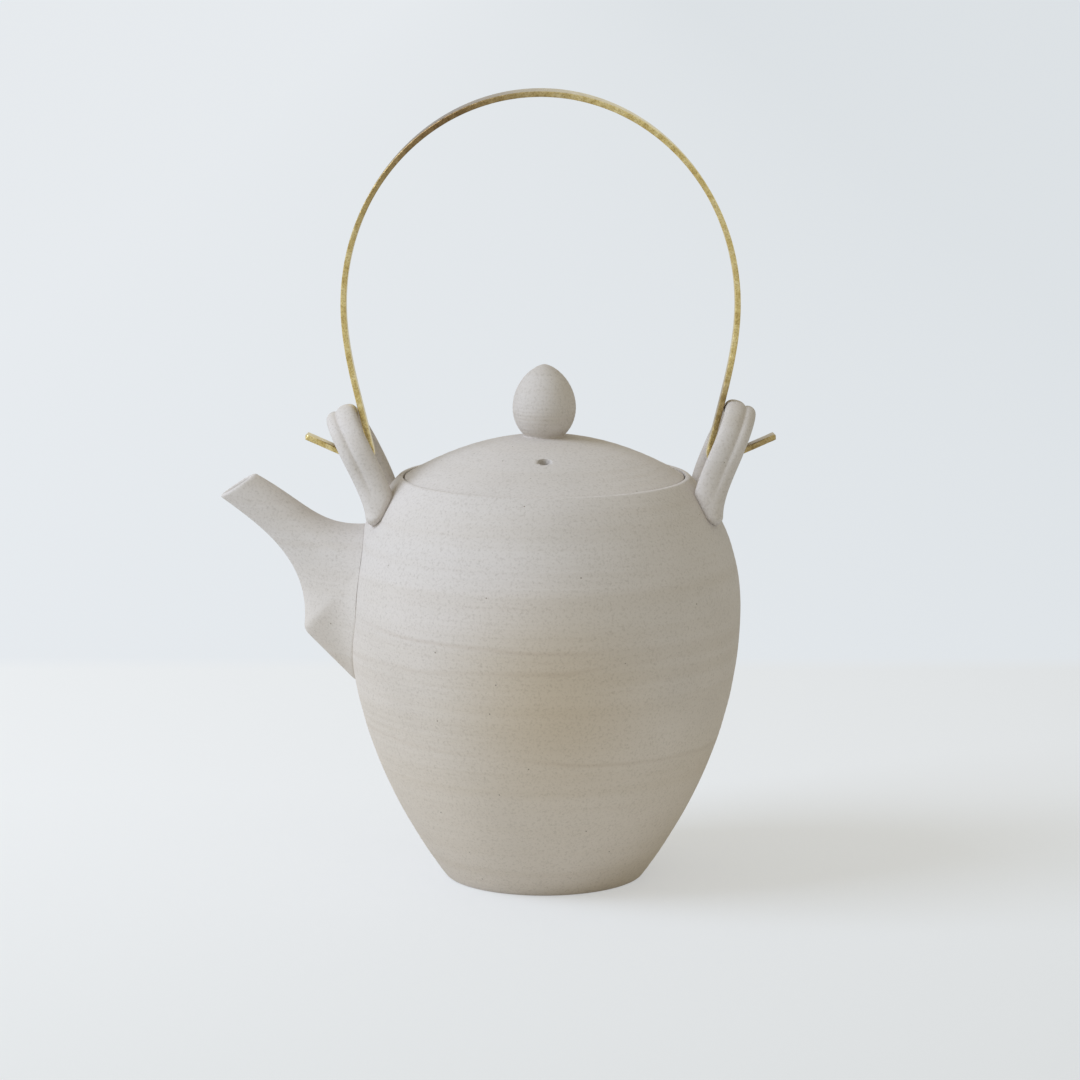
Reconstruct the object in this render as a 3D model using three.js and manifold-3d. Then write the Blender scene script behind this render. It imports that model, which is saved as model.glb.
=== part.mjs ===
// A stoneware teapot with a brass bail: a turned pot, a keeled spout with a strainer behind it,
// two strap lugs, a lid with a knob, and a strip bail hooked through the lugs.
// Millimetres, +Z up. The origin is the middle of the flat base, and the spout points along -X.
import * as THREE from "three";
import { mergeVertices } from "three/addons/utils/BufferGeometryUtils.js";
import Module from "manifold-3d";

const wasm = await Module();
wasm.setup();

// The gap that two touching pieces keep
const seam = 0.3;

// Pot: the outside, from the base up to the rim
const baseRadius = 29;
const baseEdge = 1.2;
const bellyRadius = 57;
const bellyHeight = 80;
const rimRadius = 42;
const rimHeight = 117.7;
const footFullness = 2.05;
const shoulderRoundness = 1.305;

// Pot: the wall, the lip and the ledge that the lid rests on
const potWall = 4.5;
const floorThickness = 5.5;
const floorFillet = 3;
const lipWidth = 1.2;
const lipRound = 0.55;
const ledgeDepth = 2.6;
const ledgeThickness = 5;
const throatDrop = 6;
const mouthRadius = 36.5;

// Lid
const lidClearance = 0.4;
const lidRise = 11.7;
const lidThickness = 3.4;
const lidEdgeRound = 0.6;
const flangeClearance = 0.6;
const flangeDepth = 6;
const flangeThickness = 3;
const steamHoleRadius = 1.75;
const steamHoleOffset = 24;

// Knob: an egg with its pointed end up
const knobRadius = 9.15;
const knobBelow = 7.8;
const knobAbove = 12.5;
const knobFootRound = 10.5;
const knobTipSharpness = 0.62;

// Spout: its side view as cubic curves, each point as [out, up] from the belly line of the pot
const spoutTopLine = [[26, 37.9], [11.4, 29.5], [8.4, 22.8], [-3.5, 23]];
const spoutUnderLine = [[36.3, 31.3], [24.8, 22.7], [10, 12.6], [12.9, -7.5]];
const spoutTipHalfWidth = 5.2;
const spoutThroatHalfWidth = 8.2;
const spoutThroatEgg = -0.3;
const spoutFlare = 3;
const spoutTipWall = 2;
const spoutRootWall = 3.2;
const boreClearance = 1;
const boreShare = 0.75;

// Spout: the outline where it meets the pot, fuller above its middle than below, and the height
// where the crease from the keel's corner reaches that outline, all measured from the belly
// line. The bow is how fast the crease leaves the middle plane: 1 is straight. The spread is the
// arc, in degrees, over which the outline's points below the crease are set out
const spoutRootBottom = -23;
const spoutRootHalfWidth = 19;
const spoutRootHighFullness = 2.6;
const spoutRootLowFullness = 1.25;
const creaseRise = 13;
const creaseBow = 0.5;
const creaseSpread = 110;

// Pour hole and the pierced dome behind it
const pourHoleRadius = 9;
const pourHoleRise = 4;
const strainerRadius = 15;
const strainerRimRadius = 12.5;
const strainerThickness = 2;
const strainerHoleRadius = 1.1;
const strainerRings = [[0, 1], [17, 6], [34, 12]];

// Lugs: a strap of two rolls bent to an arch that leans out from the shoulder. Each lug was
// shaped by hand, so each has its own side view: a cubic curve as [out, up], out from the
// shoulder's surface at the height of the lug's foot, and up from the rim
const spoutLugLine = [[-2.9, -9.7], [-2.5, -3], [4.9, 9.3], [12.5, 24.3]];
const farLugLine = [[-2.9, -9.7], [-2.9, -1.5], [2.7, 7.3], [9.1, 24.3]];
const spoutLugRise = 19.6;
const farLugRise = 21.2;
const lugLegSpacing = 26;
const lugStrapWidth = 9;
const lugStrapThickness = 5.6;
const lugInnerRollShare = 0.61;
const lugGrooveDepth = 1.5;
const lugFootRound = 2;
const lugFootShare = 0.6;

// Bail: a strip on edge, half an ellipse above bent necks that end in hooked tails
const bailHalfSpan = 56.5;
const bailCrownHeight = 227.7;
const bailSpringHeight = 167;
const bailThickness = 1.6;
const bailGripWidth = 18;
const bailNeckWidth = 5.8;
const bailTaperHeight = 175;
const bailClearance = 0.7;
const hookDrop = 17.1;
const hookInset = 4.2;
const hookBendRadius = 2.6;
const hookTailLength = 22.2;
const hookTailSlope = 24;

// Facets of round shapes
const potFacets = 64;
const knobFacets = 32;
const pourHoleFacets = 24;
const steamHoleFacets = 12;
const strainerHoleFacets = 8;
const profileSteps = 12;

const degrees = Math.PI / 180;

// Seat and clearance heights that several pieces share
const ledgeHeight = rimHeight - ledgeDepth;
const lidRadius = rimRadius - lipWidth - lidClearance;
const innerRadius = bellyRadius - potWall;

// A closed geometry as a solid: vertices merged, and faces without area left out.
function solidOf(geometry) {
  const bare = new THREE.BufferGeometry();
  bare.setAttribute("position", geometry.getAttribute("position"));
  bare.setIndex(geometry.index);
  const merged = mergeVertices(bare, 1e-4);
  const index = merged.index;
  const faces = [];
  for (let i = 0; i < index.count; i += 3) {
    const [a, b, c] = [index.getX(i), index.getX(i + 1), index.getX(i + 2)];
    if (a !== b && b !== c && c !== a) faces.push(a, b, c);
  }
  const vertProperties = new Float32Array(merged.getAttribute("position").array);
  const triVerts = new Uint32Array(faces);
  return new wasm.Manifold(new wasm.Mesh({ numProp: 3, vertProperties, triVerts }));
}

// A named mesh of a solid.
function meshOf(name, solid, material) {
  const { vertProperties, triVerts } = solid.getMesh();
  const geometry = new THREE.BufferGeometry();
  geometry.setAttribute("position", new THREE.BufferAttribute(vertProperties, 3));
  geometry.setIndex(new THREE.BufferAttribute(triVerts, 1));
  geometry.computeVertexNormals();
  const mesh = new THREE.Mesh(geometry, material);
  mesh.name = name;
  return mesh;
}

// A solid of revolution about Z from [radius, height] points, outside going up.
function turned(points, facets = potFacets) {
  const profile = points.map(([r, z]) => new THREE.Vector2(r, z));
  return solidOf(new THREE.LatheGeometry(profile, facets).rotateX(Math.PI / 2));
}

// A solid skinned over rings of equal length, with a flat fan at each end. Each four-sided face
// is split along its shorter diagonal.
function lofted(rings) {
  const count = rings[0].length;
  const points = rings.flat();
  const faces = [];
  for (let ring = 0; ring < rings.length - 1; ring++) {
    for (let i = 0; i < count; i++) {
      const [a, b] = [ring * count + i, ring * count + ((i + 1) % count)];
      const [c, d] = [a + count, b + count];
      const rising = points[a].distanceTo(points[d]) < points[b].distanceTo(points[c]);
      faces.push(...(rising ? [a, b, d, a, d, c] : [a, b, c, b, d, c]));
    }
  }
  const last = (rings.length - 1) * count;
  for (let i = 1; i < count - 1; i++) {
    faces.push(0, i + 1, i, last, last + i, last + i + 1);
  }
  const geometry = new THREE.BufferGeometry().setFromPoints(points);
  geometry.setIndex(faces);
  return solidOf(geometry);
}

// A round pin between two points.
function pin(from, to, radius, facets) {
  const along = new THREE.Vector3().subVectors(to, from);
  const geometry = new THREE.CylinderGeometry(radius, radius, along.length(), facets);
  const turn = new THREE.Quaternion();
  turn.setFromUnitVectors(new THREE.Vector3(0, 1, 0), along.clone().normalize());
  geometry.applyQuaternion(turn);
  geometry.translate(...new THREE.Vector3().addVectors(from, to).multiplyScalar(0.5));
  return solidOf(geometry);
}

// Outside radius of the pot: a near parabola below the belly, an elliptical arc above it.
function outerRadius(z) {
  if (z <= bellyHeight) {
    const below = (bellyHeight - z) / bellyHeight;
    return bellyRadius - (bellyRadius - baseRadius) * below ** footFullness;
  }
  const drop = (u) => 1 - Math.sqrt(1 - u * u);
  const above = (z - bellyHeight) / (rimHeight - bellyHeight);
  const share = drop(above / shoulderRoundness) / drop(1 / shoulderRoundness);
  return bellyRadius - (bellyRadius - rimRadius) * share;
}

// The [radius, height] point that lies a distance inside the pot's outer surface, square to it.
function insetPoint(z, inset) {
  const step = 0.01;
  const slope = (outerRadius(z + step) - outerRadius(z - step)) / (2 * step);
  const length = Math.hypot(1, slope);
  return [outerRadius(z) - inset / length, z + (inset * slope) / length];
}

// The pot's profile at an inset, from one height to another.
function insetProfile(from, to, inset) {
  const points = [];
  for (let i = 0; i <= profileSteps; i++) {
    points.push(insetPoint(from + ((to - from) * i) / profileSteps, inset));
  }
  return points;
}

// A solid that is the pot's outer shape grown by a clearance, for cutting what sits on it.
function potEnvelope(clearance) {
  const top = rimHeight + clearance;
  const side = insetProfile(0, rimHeight, -clearance);
  return turned([[0, -clearance], [side[0][0], -clearance], ...side, [rimRadius, top], [0, top]]);
}

// The hollow of the pot, less a clearance to its wall.
function potCavity(clearance) {
  const top = ledgeHeight - ledgeThickness - throatDrop;
  const side = insetProfile(floorThickness, top, potWall + clearance);
  return turned([[0, side[0][1]], ...side, [0, side.at(-1)[1]]]);
}

function makePot() {
  const outside = insetProfile(baseEdge, rimHeight - lipRound, 0);
  const lip = [];
  const lipSteps = 3;
  for (let i = 0; i <= lipSteps; i++) {
    const angle = (i / lipSteps) * 90 * degrees;
    const r = rimRadius - lipRound + lipRound * Math.cos(angle);
    lip.push([r, rimHeight - lipRound + lipRound * Math.sin(angle)]);
  }
  const ledgeRadius = rimRadius - lipWidth;
  const ledge = [
    [ledgeRadius, rimHeight],
    [ledgeRadius, ledgeHeight],
    [mouthRadius, ledgeHeight],
    [mouthRadius, ledgeHeight - ledgeThickness],
  ];
  const throat = ledgeHeight - ledgeThickness - throatDrop;
  const inside = insetProfile(throat, floorThickness, potWall);
  const floorRadius = inside.at(-1)[0] - floorFillet;
  const base = [[0, 0], [outerRadius(0) - baseEdge, 0]];
  const bottom = [[floorRadius, floorThickness], [0, floorThickness]];
  const pot = turned([...base, ...outside, ...lip, ...ledge, ...inside, ...bottom]);
  const height = bellyHeight + pourHoleRise;
  const out = new THREE.Vector3(-bellyRadius - potWall, 0, height);
  const into = new THREE.Vector3(potWall - innerRadius, 0, height);
  return pot.subtract(pin(out, into, pourHoleRadius, pourHoleFacets));
}

// A point of the spout's side view, from [out, up] to the part's X and Z.
function spoutPoint([out, up]) {
  return new THREE.Vector2(-bellyRadius - out, bellyHeight + up);
}

function spoutCurve(line) {
  return new THREE.CubicBezierCurve(...line.map(spoutPoint));
}

// The share of the way up a ring of the spout at each of its points, from the underside to the
// top and back down the other side; y is positive on the first half.
function ringShares() {
  const count = 32;
  return Array.from({ length: count }, (_, i) => {
    const angle = (2 * Math.PI * i) / count;
    return { angle, share: (1 - Math.cos(angle)) / 2, side: Math.sign(Math.sin(angle)) };
  });
}

// An egg-shaped ring between a point on the spout's underside and one on its top.
function eggRing(under, top, halfWidth, egg) {
  return ringShares().map(({ angle, share }) => {
    const at = under.clone().lerp(top, share);
    const y = halfWidth * Math.sin(angle) * (1 - egg * Math.cos(angle));
    return new THREE.Vector3(at.x, y, at.y);
  });
}

// Half the width of the spout's root outline at a height.
function rootHalfWidth(z) {
  const bottom = bellyHeight + spoutRootBottom;
  const top = spoutPoint(spoutTopLine.at(-1)).y;
  const middle = (top + bottom) / 2;
  const away = Math.min(Math.abs(z - middle) / (top - middle), 1);
  const fullness = z > middle ? spoutRootHighFullness : spoutRootLowFullness;
  const full = (1 - away ** fullness) ** (1 / fullness);
  return spoutRootHalfWidth * full;
}

// A point of the pot's surface on the spout's side.
function rootPoint(y, z) {
  return new THREE.Vector3(-Math.sqrt(outerRadius(z) ** 2 - y * y), y, z);
}

// The spout's last free ring: creases that look straight from the side and bow outward, from
// the keel's corner to the root outline, then that outline over the top.
function creaseRing() {
  const corner = spoutPoint(spoutUnderLine.at(-1));
  const top = spoutPoint(spoutTopLine.at(-1)).y;
  const creaseTop = bellyHeight + creaseRise;
  return ringShares().map(({ share, side }) => {
    const z = corner.y + (top - corner.y) * share;
    if (z > creaseTop) return rootPoint(side * rootHalfWidth(z), z);
    const end = rootPoint(side * rootHalfWidth(creaseTop), creaseTop);
    const way = (z - corner.y) / (creaseTop - corner.y);
    const x = THREE.MathUtils.lerp(corner.x, end.x, way);
    return new THREE.Vector3(x, end.y * way ** creaseBow, z);
  });
}

// The whole outline where the spout meets the pot, with the points below the crease spread
// over its lower part.
function rootRing() {
  const corner = spoutPoint(spoutUnderLine.at(-1)).y;
  const top = spoutPoint(spoutTopLine.at(-1)).y;
  const bottom = bellyHeight + spoutRootBottom;
  const creaseTop = bellyHeight + creaseRise;
  const creaseShare = (creaseTop - corner) / (top - corner);
  return ringShares().map(({ share, side }) => {
    const low = Math.min(share / creaseShare, 1);
    const arc = creaseSpread * degrees;
    const spread = (1 - Math.cos(low * arc)) / (1 - Math.cos(arc));
    const below = bottom + (creaseTop - bottom) * spread;
    const z = share < creaseShare ? below : corner + (top - corner) * share;
    return rootPoint(side * rootHalfWidth(z), z);
  });
}

// The free rings of the spout, from the tip to the crease.
function spoutRings() {
  const topCurve = spoutCurve(spoutTopLine);
  const underCurve = spoutCurve(spoutUnderLine);
  const steps = 14;
  const ringAt = (s) => {
    const halfWidth = THREE.MathUtils.lerp(spoutTipHalfWidth, spoutThroatHalfWidth, s);
    const egg = spoutThroatEgg * s * s;
    return eggRing(underCurve.getPoint(s), topCurve.getPoint(s), halfWidth, egg);
  };
  const crease = creaseRing();
  const plain = ringAt(1);
  const rings = [];
  for (let i = 0; i < steps; i++) {
    const s = i / steps;
    const flare = s ** spoutFlare;
    rings.push(ringAt(s).map((p, k) => p.addScaledVector(crease[k].clone().sub(plain[k]), flare)));
  }
  return [...rings, crease];
}

// The outside of the spout, carried on a little into the pot.
function spoutOutside() {
  const root = rootRing();
  const into = new THREE.Vector3(potWall, 0, 0);
  return lofted([...spoutRings(), root, root.map((p) => p.clone().add(into))]);
}

// The bore of the spout: the free rings drawn in by the wall, from before the tip, then a
// circle a little wider than the pour hole at the pot's surface.
function spoutBore() {
  const outer = spoutRings();
  const used = outer.slice(0, Math.round(outer.length * boreShare));
  const rings = used.map((ring, i) => {
    const wall = THREE.MathUtils.lerp(spoutTipWall, spoutRootWall, i / used.length);
    const middle = ring.reduce((sum, p) => sum.add(p), new THREE.Vector3());
    middle.divideScalar(ring.length);
    return ring.map((p) => {
      const inward = middle.clone().sub(p);
      return p.clone().addScaledVector(inward.normalize(), wall);
    });
  });
  const away = new THREE.Vector3().subVectors(rings[0][0], rings[1][0]).setY(0).normalize();
  rings.unshift(rings[0].map((p) => p.clone().addScaledVector(away, 2 * spoutTipWall)));
  const height = bellyHeight + pourHoleRise;
  const radius = pourHoleRadius + boreClearance;
  const low = new THREE.Vector2(-outerRadius(height), height - radius);
  const high = new THREE.Vector2(-outerRadius(height), height + radius);
  const root = eggRing(low, high, radius, 0);
  const into = new THREE.Vector3(potWall, 0, 0);
  rings.push(root, root.map((p) => p.clone().add(into)));
  return lofted(rings);
}

function makeSpout() {
  return spoutOutside().subtract(potEnvelope(seam)).subtract(spoutBore());
}

function makeStrainer() {
  const depth = Math.sqrt(strainerRadius ** 2 - strainerRimRadius ** 2);
  const centre = new THREE.Vector3(-innerRadius - depth, 0, bellyHeight + pourHoleRise);
  const ball = (radius) =>
    solidOf(new THREE.SphereGeometry(radius, 24, 12).translate(...centre));
  let dome = ball(strainerRadius).subtract(ball(strainerRadius - strainerThickness));
  dome = dome.intersect(potCavity(seam));
  for (const [tilt, count] of strainerRings) {
    for (let i = 0; i < count; i++) {
      const turn = (2 * Math.PI * i) / count;
      const lean = tilt * degrees;
      const out = new THREE.Vector3(
        Math.cos(lean),
        Math.sin(lean) * Math.cos(turn),
        Math.sin(lean) * Math.sin(turn),
      );
      const from = centre.clone().addScaledVector(out, strainerRadius - 2 * strainerThickness);
      const to = centre.clone().addScaledVector(out, strainerRadius + strainerThickness);
      dome = dome.subtract(pin(from, to, strainerHoleRadius, strainerHoleFacets));
    }
  }
  return dome;
}

// Height of the lid's outside: a shallow paraboloid that starts level with the rim.
function lidHeight(r) {
  return rimHeight + lidRise * (1 - (r / lidRadius) ** 2);
}

function makeLid() {
  const flangeOuter = mouthRadius - flangeClearance;
  const flangeInner = flangeOuter - flangeThickness;
  const flangeBottom = ledgeHeight - flangeDepth;
  const rest = ledgeHeight + seam;
  const steps = 6;
  const underside = [];
  const dome = [];
  for (let i = 0; i <= steps; i++) {
    const r = (flangeInner * i) / steps;
    underside.push([r, lidHeight(r) - lidThickness]);
    const outer = (lidRadius - lidEdgeRound) * (1 - i / steps);
    dome.push([outer, lidHeight(outer)]);
  }
  const edge = [
    [flangeInner, flangeBottom],
    [flangeOuter, flangeBottom],
    [flangeOuter, rest],
    [lidRadius, rest],
    [lidRadius, rimHeight - lidEdgeRound / 2],
  ];
  const lid = turned([...underside, ...edge, ...dome]);
  const below = new THREE.Vector3(0, -steamHoleOffset, ledgeHeight);
  const above = new THREE.Vector3(0, -steamHoleOffset, lidHeight(0));
  return lid.subtract(pin(below, above, steamHoleRadius, steamHoleFacets));
}

function makeKnob() {
  const foot = lidHeight(0) + seam;
  const middle = foot + knobBelow;
  const points = [[0, foot]];
  const lowSteps = 4;
  const highSteps = 10;
  for (let i = 0; i <= lowSteps; i++) {
    const down = knobBelow * (1 - i / lowSteps);
    points.push([knobRadius * Math.sqrt(1 - (down / knobFootRound) ** 2), middle - down]);
  }
  for (let i = 1; i <= highSteps; i++) {
    const up = Math.sin((i / highSteps) * 90 * degrees);
    points.push([knobRadius * (1 - up * up) ** knobTipSharpness, middle + knobAbove * up]);
  }
  points.at(-1)[0] = 0;
  return turned(points, knobFacets);
}

// The strap's section as [across, outward] points: two rolls with a groove on the outer face,
// and a round underside.
function strapSection() {
  const half = lugStrapWidth / 2;
  const deep = lugStrapThickness / 2;
  const groove = deep - lugGrooveDepth;
  const split = half - lugStrapWidth * lugInnerRollShare;
  const points = [];
  const rollSteps = 5;
  const underSteps = 6;
  const roll = (from, to) => {
    for (let i = 0; i < rollSteps; i++) {
      const angle = (i / rollSteps) * 180 * degrees;
      const across = (from + to) / 2 + ((from - to) / 2) * Math.cos(angle);
      points.push([across, groove + lugGrooveDepth * Math.sin(angle)]);
    }
  };
  roll(half, split);
  roll(split, -half);
  points.push([-half, groove]);
  for (let i = 0; i <= underSteps; i++) {
    const angle = (i / underSteps) * 180 * degrees;
    points.push([-half * Math.cos(angle), -deep * Math.sin(angle)]);
  }
  return points;
}

// A lug's sheet: places a point of the flat arch (sideways, up the arch, across the strap) on
// the lug's leaning curve. side is 1 at +X and -1 at -X.
function lugSheet(side) {
  const line = side < 0 ? spoutLugLine : farLugLine;
  const shoulder = outerRadius(rimHeight + line[0][1]);
  const lean = new THREE.CubicBezierCurve(
    ...line.map(([out, up]) => new THREE.Vector2(shoulder + out, rimHeight + up)),
  );
  const climb = lean.getLength();
  return (y, along, across) => {
    const share = THREE.MathUtils.clamp(along / climb, 0, 1);
    const point = lean.getPointAt(share);
    const way = lean.getTangentAt(share);
    const beyond = along - share * climb;
    const x = point.x + way.x * beyond - way.y * across;
    const z = point.y + way.y * beyond + way.x * across;
    return new THREE.Vector3(side * x, y, z);
  };
}

// How far up its curve the outside of a lug's arch reaches.
function lugArchTop(side) {
  const place = lugSheet(side);
  const top = rimHeight + (side < 0 ? spoutLugRise : farLugRise);
  let along = 0;
  while (place(0, along, 0).z < top) along += 0.05;
  return along;
}

function makeLug(side) {
  const place = lugSheet(side);
  const radius = lugLegSpacing / 2;
  const springing = lugArchTop(side) - lugStrapThickness / 2 - radius;
  const path = [];
  const legSteps = 4;
  const archSteps = 14;
  for (let i = 0; i < legSteps; i++) {
    path.push([-radius, (springing * i) / legSteps, 0, 1]);
  }
  for (let i = 0; i <= archSteps; i++) {
    const angle = (i / archSteps) * 180 * degrees;
    path.push([-radius * Math.cos(angle), springing + radius * Math.sin(angle), angle, 1]);
  }
  for (let i = legSteps - 1; i >= 0; i--) {
    path.push([radius, (springing * i) / legSteps, 180 * degrees, 1]);
  }
  path.unshift([-radius, -lugFootRound, 0, lugFootShare]);
  path.push([radius, -lugFootRound, 180 * degrees, lugFootShare]);
  const section = strapSection();
  if (side < 0) section.reverse();
  const rings = path.map(([y, along, angle, size]) =>
    section.map(([across, outward]) => {
      const sideways = y - size * outward * Math.cos(angle);
      return place(sideways, along + size * outward * Math.sin(angle), size * across);
    }),
  );
  return lofted(rings).subtract(potEnvelope(seam));
}

// Where the bail's necks pass the lugs: the inner side of each arch's top where the strap is
// widest, and from them the middle of the bail and the reach of its necks.
function bailSeat() {
  const inner = (side) => {
    const along = lugArchTop(side) - lugStrapThickness / 2;
    return lugSheet(side)(0, along, lugStrapWidth / 2);
  };
  const [near, far] = [inner(-1), inner(1)];
  return {
    middle: (near.x + far.x) / 2,
    reach: (far.x - near.x) / 2 - bailClearance - bailThickness / 2,
    height: (near.z + far.z) / 2,
  };
}

// The bail's centre line from its crown to the tip of one tail: a quarter of an ellipse, a neck
// that bends in to the lug and runs straight past it, a small bend and a straight tail.
function bailHalf() {
  const rise = bailCrownHeight - bailSpringHeight;
  const points = [];
  const archSteps = 24;
  for (let i = 0; i < archSteps; i++) {
    const turn = (i / archSteps) * 90 * degrees;
    const x = bailHalfSpan * Math.sin(turn);
    points.push(new THREE.Vector2(x, bailSpringHeight + rise * Math.cos(turn)));
  }
  const seat = bailSeat();
  const spring = new THREE.Vector2(bailHalfSpan, bailSpringHeight);
  const neck = new THREE.Vector2(seat.reach, seat.height);
  const bend = new THREE.Vector2(seat.reach - hookInset, seat.height - hookDrop);
  const tail = hookTailSlope * degrees;
  const outward = new THREE.Vector2(Math.cos(tail), Math.sin(tail));
  const upward = new THREE.Vector2().subVectors(neck, bend).normalize();
  const handle = spring.distanceTo(neck) / 3;
  const neckSteps = 6;
  const below = new THREE.Vector2(bailHalfSpan, bailSpringHeight - handle);
  const above = neck.clone().addScaledVector(upward, handle);
  points.push(...new THREE.CubicBezierCurve(spring, below, above, neck).getPoints(neckSteps));
  const between = Math.acos(outward.dot(upward));
  const cut = hookBendRadius / Math.tan(between / 2);
  const middle = new THREE.Vector2().addVectors(outward, upward).normalize();
  middle.multiplyScalar(hookBendRadius / Math.sin(between / 2)).add(bend);
  const from = bend.clone().addScaledVector(upward, cut).sub(middle).angle();
  const bendSteps = 6;
  for (let i = 0; i <= bendSteps; i++) {
    const angle = from + ((Math.PI - between) * i) / bendSteps;
    const x = middle.x + hookBendRadius * Math.cos(angle);
    points.push(new THREE.Vector2(x, middle.y + hookBendRadius * Math.sin(angle)));
  }
  points.push(bend.clone().addScaledVector(outward, hookTailLength));
  return points;
}

function makeBail() {
  const half = bailHalf();
  const mirrored = half.slice(1).map((p) => new THREE.Vector2(-p.x, p.y));
  const line = [...mirrored.reverse(), ...half];
  const edge = (offset) =>
    line.map((p, i) => {
      const before = line[Math.max(i - 1, 0)];
      const after = line[Math.min(i + 1, line.length - 1)];
      const way = new THREE.Vector2().subVectors(after, before).normalize();
      return new THREE.Vector2(p.x - way.y * offset, p.y + way.x * offset);
    });
  const outline = new THREE.Shape([
    ...edge(-bailThickness / 2),
    ...edge(bailThickness / 2).reverse(),
  ]);
  const strip = new THREE.ExtrudeGeometry(outline, { depth: bailGripWidth, bevelEnabled: false });
  strip.translate(bailSeat().middle, 0, -bailGripWidth / 2).rotateX(Math.PI / 2);
  const neck = bailNeckWidth / 2;
  const grip = bailGripWidth / 2;
  const top = bailCrownHeight + bailThickness;
  const taper = new THREE.Shape([
    new THREE.Vector2(-neck, 0),
    new THREE.Vector2(neck, 0),
    new THREE.Vector2(neck, bailTaperHeight),
    new THREE.Vector2(grip, top),
    new THREE.Vector2(-grip, top),
    new THREE.Vector2(-neck, bailTaperHeight),
  ]);
  const span = 4 * bailHalfSpan;
  const envelope = new THREE.ExtrudeGeometry(taper, { depth: span, bevelEnabled: false });
  envelope.translate(0, 0, -span / 2);
  envelope.rotateX(Math.PI / 2).rotateZ(Math.PI / 2);
  return solidOf(strip).intersect(solidOf(envelope));
}

const clay = new THREE.MeshStandardMaterial({ color: 0xbfbab2, roughness: 0.9, metalness: 0 });
const brass = new THREE.MeshStandardMaterial({ color: 0xb99a4e, roughness: 0.35, metalness: 1 });

const teapot = new THREE.Group();
teapot.add(meshOf("pot", makePot(), clay));
teapot.add(meshOf("spout", makeSpout(), clay));
teapot.add(meshOf("strainer", makeStrainer(), clay));
teapot.add(meshOf("lug_spout_side", makeLug(-1), clay));
teapot.add(meshOf("lug_far_side", makeLug(1), clay));
teapot.add(meshOf("lid", makeLid(), clay));
teapot.add(meshOf("knob", makeKnob(), clay));
teapot.add(meshOf("bail", makeBail(), brass));

export default teapot;
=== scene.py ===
"""A stoneware teapot with a sprung brass bail, standing on a pale table.

Shapes are worked out in millimetres and put into the meshes in metres. +Z is up, the origin is
the middle of the pot's flat base, the spout points along -X and the camera looks along +Y.
"""
import math

import bmesh
import bpy
import numpy as np
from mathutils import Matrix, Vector


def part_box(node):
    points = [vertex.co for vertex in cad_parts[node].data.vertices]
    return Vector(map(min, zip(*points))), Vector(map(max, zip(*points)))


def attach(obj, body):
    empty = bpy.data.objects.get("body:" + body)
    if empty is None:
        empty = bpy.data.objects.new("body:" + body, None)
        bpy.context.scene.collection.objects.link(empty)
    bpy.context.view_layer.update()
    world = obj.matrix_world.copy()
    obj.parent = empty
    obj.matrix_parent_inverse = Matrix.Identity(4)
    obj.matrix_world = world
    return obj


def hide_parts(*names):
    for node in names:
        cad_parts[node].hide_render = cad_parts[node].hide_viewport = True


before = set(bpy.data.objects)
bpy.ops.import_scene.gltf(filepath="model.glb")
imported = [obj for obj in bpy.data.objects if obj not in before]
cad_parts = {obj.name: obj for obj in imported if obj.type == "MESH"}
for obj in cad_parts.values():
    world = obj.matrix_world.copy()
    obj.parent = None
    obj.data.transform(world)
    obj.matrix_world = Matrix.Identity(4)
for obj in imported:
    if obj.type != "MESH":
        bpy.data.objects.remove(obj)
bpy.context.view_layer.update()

MM = 0.001

# Sizes that the frame gives, in millimetres
POT_LOW, POT_HIGH = (np.array(corner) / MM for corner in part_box("pot"))
LID_LOW, LID_HIGH = (np.array(corner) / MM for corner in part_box("lid"))
KNOB_LOW, KNOB_HIGH = (np.array(corner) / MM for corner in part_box("knob"))

# Pot: the outside
BELLY_RADIUS = POT_HIGH[1]
BELLY_HEIGHT = 80
RIM_HEIGHT = POT_HIGH[2]
RIM_RADIUS = 42
BASE_RADIUS = 29
BASE_EDGE = 0.7
BASE_INSET = 0.2
FOOT_FULLNESS = 2.05
SHOULDER_ROUNDNESS = 1.305

# Pot: the wall, the lip and the ledge under the lid
POT_WALL = 4.5
FLOOR_THICKNESS = 5.5
FLOOR_CURVE_RISE = 3
FLOOR_CURVE_INSET = 1.4
LIP_WIDTH = 1.2
LIP_ROUND_DROP = 1.5
LEDGE_DEPTH = 2.6
LEDGE_THICKNESS = 5
THROAT_DROP = 6
MOUTH_RADIUS = 36.5
POUR_HOLE_RADIUS = 9
POUR_HOLE_HEIGHT = BELLY_HEIGHT + 4

# Lid and knob
LID_RADIUS = LID_HIGH[1]
LID_TOP = LID_HIGH[2]
LID_THICKNESS = 3.4
LID_EDGE_DROP = 0.3
FLANGE_OUTER = 35.9
FLANGE_THICKNESS = 3
FLANGE_BOTTOM = LID_LOW[2]
LID_REST = RIM_HEIGHT - LEDGE_DEPTH + 0.3
STEAM_HOLE_RADIUS = 1.75
STEAM_HOLE_OFFSET = 24
KNOB_RADIUS = 9.15
KNOB_BELOW = 7.8
KNOB_ABOVE = 12.5
KNOB_FOOT_ROUND = 10.5
KNOB_TIP_SHARPNESS = 0.62
KNOB_SEAT_SHARE = 0.65
KNOB_SUNK = 1
KNOB_FILLET = 0.8

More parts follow.
